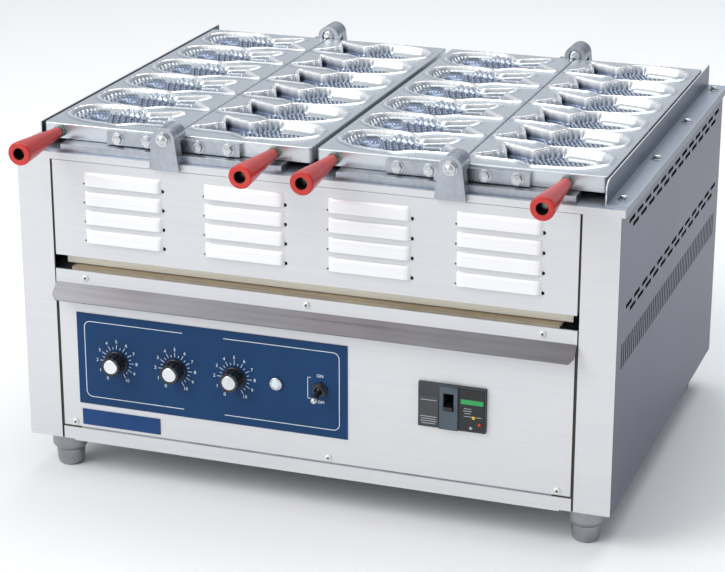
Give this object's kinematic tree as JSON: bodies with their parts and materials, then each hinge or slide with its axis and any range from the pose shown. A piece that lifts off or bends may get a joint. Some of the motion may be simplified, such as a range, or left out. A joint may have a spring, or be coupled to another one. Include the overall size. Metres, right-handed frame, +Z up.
{
  "type": "taiyaki maker",
  "caption": "Countertop electric griddle: a steel cabinet with hinged pairs of cast fish-mould plates, red grips, heat knobs, breaker, crumb tray and levelling feet.",
  "frame": {"origin": "on the floor under the centre of the whole object's box, the feet standing on Z = 0", "axes": "+X to the right seen from the controls, +Y towards the back, +Z up"},
  "size_m": [0.688, 0.6244, 0.4241],
  "materials": {
    "front_stainless": "fine horizontal brushing",
    "side_stainless": "fine brushing",
    "frame_stainless": "satin",
    "inner_steel": "galvanised, heat tinted",
    "cast_aluminium": "cast, with polished rims",
    "plated_steel": "zinc plated, satin",
    "screw_steel": "bright",
    "heater_sheath": "heat darkened",
    "red_grip": "smooth moulded",
    "blue_panel": "satin",
    "badge_blue": "satin",
    "black_knob": "moulded, bright metal cap",
    "black_switch": "moulded",
    "breaker_case": "moulded",
    "button_yellow": "moulded",
    "button_red": "moulded",
    "button_grey": "moulded",
    "lamp": "milky lens in a bright bezel",
    "cream_plastic": "moulded",
    "foot_metal": "satin",
    "foot_black": "matt"
  },
  "bodies": {
    "cabinet": {"base_pan": "inner_steel", "left_side_panel": "side_stainless", "right_side_panel": "side_stainless", "rear_panel": "side_stainless", "bottom_rail": "front_stainless", "control_panel": "front_stainless", "louvre_panel": "front_stainless", "top_frame": "frame_stainless", "left_guard": "frame_stainless", "right_guard": "frame_stainless", "case_screws": "screw_steel", "heat_shield": "inner_steel", "tray_runners": "inner_steel", "chamber_liner": "inner_steel", "heaters": "heater_sheath", "heater_supports": "inner_steel", "support_bars": "frame_stainless", "hinge_posts": "plated_steel", "hinge_pins": "screw_steel", "control_plate": "blue_panel", "badge_plate": "badge_blue", "heat_regulators": "cream_plastic", "pilot_lamp": "lamp", "toggle_switch": "black_switch", "breaker_body": "breaker_case", "contactor": "black_switch", "terminal_block": "cream_plastic", "cable_gland": "black_switch", "leg_sockets": "frame_stainless"},
    "plate_1": {"mould_plate_1": "cast_aluminium", "hinge_arms_1": "plated_steel", "handle_rod_1": "plated_steel", "grip_1": "red_grip"},
    "plate_2": {"mould_plate_2": "cast_aluminium", "hinge_arms_2": "plated_steel", "handle_rod_2": "plated_steel", "grip_2": "red_grip"},
    "plate_3": {"mould_plate_3": "cast_aluminium", "hinge_arms_3": "plated_steel", "handle_rod_3": "plated_steel", "grip_3": "red_grip"},
    "plate_4": {"mould_plate_4": "cast_aluminium", "hinge_arms_4": "plated_steel", "handle_rod_4": "plated_steel", "grip_4": "red_grip"},
    "knob_1": {"knob_1": "black_knob"},
    "knob_2": {"knob_2": "black_knob"},
    "knob_3": {"knob_3": "black_knob"},
    "toggle_lever": {"toggle_lever": "black_switch"},
    "breaker_lever": {"breaker_lever": "breaker_case"},
    "yellow_button": {"breaker_button_yellow": "button_yellow"},
    "red_button": {"breaker_button_red": "button_red"},
    "grey_button": {"breaker_button_grey": "button_grey"},
    "tray": {"crumb_tray": "inner_steel", "tray_front": "front_stainless", "tray_screws": "screw_steel"},
    "foot_1": {"foot_1": "foot_metal"},
    "foot_2": {"foot_2": "foot_metal"},
    "foot_3": {"foot_3": "foot_black"},
    "foot_4": {"foot_4": "foot_black"}
  },
  "joints": [
    {"name": "plate_1_hinge", "type": "hinge", "parent": "cabinet", "child": "plate_1", "pos_m": [-0.1606, 0.02425, 0.4111], "axis": [0, 1, 0], "range_deg": [0, 180]},
    {"name": "plate_2_hinge", "type": "hinge", "parent": "cabinet", "child": "plate_2", "pos_m": [-0.1606, 0.02425, 0.4111], "axis": [0, -1, 0], "range_deg": [0, 180]},
    {"name": "plate_3_hinge", "type": "hinge", "parent": "cabinet", "child": "plate_3", "pos_m": [0.1606, 0.02425, 0.4111], "axis": [0, 1, 0], "range_deg": [0, 180]},
    {"name": "plate_4_hinge", "type": "hinge", "parent": "cabinet", "child": "plate_4", "pos_m": [0.1606, 0.02425, 0.4111], "axis": [0, -1, 0], "range_deg": [0, 180]},
    {"name": "knob_1_turn", "type": "hinge", "parent": "cabinet", "child": "knob_1", "pos_m": [-0.2275, -0.24675, 0.1456], "axis": [0, 1, 0], "range_deg": [0, 300]},
    {"name": "knob_2_turn", "type": "hinge", "parent": "cabinet", "child": "knob_2", "pos_m": [-0.1565, -0.24675, 0.1456], "axis": [0, 1, 0], "range_deg": [0, 300]},
    {"name": "knob_3_turn", "type": "hinge", "parent": "cabinet", "child": "knob_3", "pos_m": [-0.0855, -0.24675, 0.1456], "axis": [0, 1, 0], "range_deg": [0, 300]},
    {"name": "toggle_throw", "type": "hinge", "parent": "cabinet", "child": "toggle_lever", "pos_m": [0.015, -0.24375, 0.1456], "axis": [-1, 0, 0], "range_deg": [0, 40]},
    {"name": "breaker_throw", "type": "hinge", "parent": "cabinet", "child": "breaker_lever", "pos_m": [0.1622, -0.21475, 0.1524], "axis": [-1, 0, 0], "range_deg": [0, 22]},
    {"name": "yellow_button_press", "type": "slide", "parent": "cabinet", "child": "yellow_button", "axis": [0, 1, 0], "range_m": [0, 0.0012], "stiffness_N_per_m": 200},
    {"name": "red_button_press", "type": "slide", "parent": "cabinet", "child": "red_button", "axis": [0, 1, 0], "range_m": [0, 0.0012], "stiffness_N_per_m": 200},
    {"name": "grey_button_press", "type": "slide", "parent": "cabinet", "child": "grey_button", "axis": [0, 1, 0], "range_m": [0, 0.0012], "stiffness_N_per_m": 200},
    {"name": "tray_slide", "type": "slide", "parent": "cabinet", "child": "tray", "axis": [0, -1, 0], "range_m": [0, 0.4]},
    {"name": "foot_1_level", "type": "slide", "parent": "cabinet", "child": "foot_1", "axis": [0, 0, -1], "range_m": [0, 0.015]},
    {"name": "foot_2_level", "type": "slide", "parent": "cabinet", "child": "foot_2", "axis": [0, 0, -1], "range_m": [0, 0.015]},
    {"name": "foot_3_level", "type": "slide", "parent": "cabinet", "child": "foot_3", "axis": [0, 0, -1], "range_m": [0, 0.015]},
    {"name": "foot_4_level", "type": "slide", "parent": "cabinet", "child": "foot_4", "axis": [0, 0, -1], "range_m": [0, 0.015]}
  ]
}
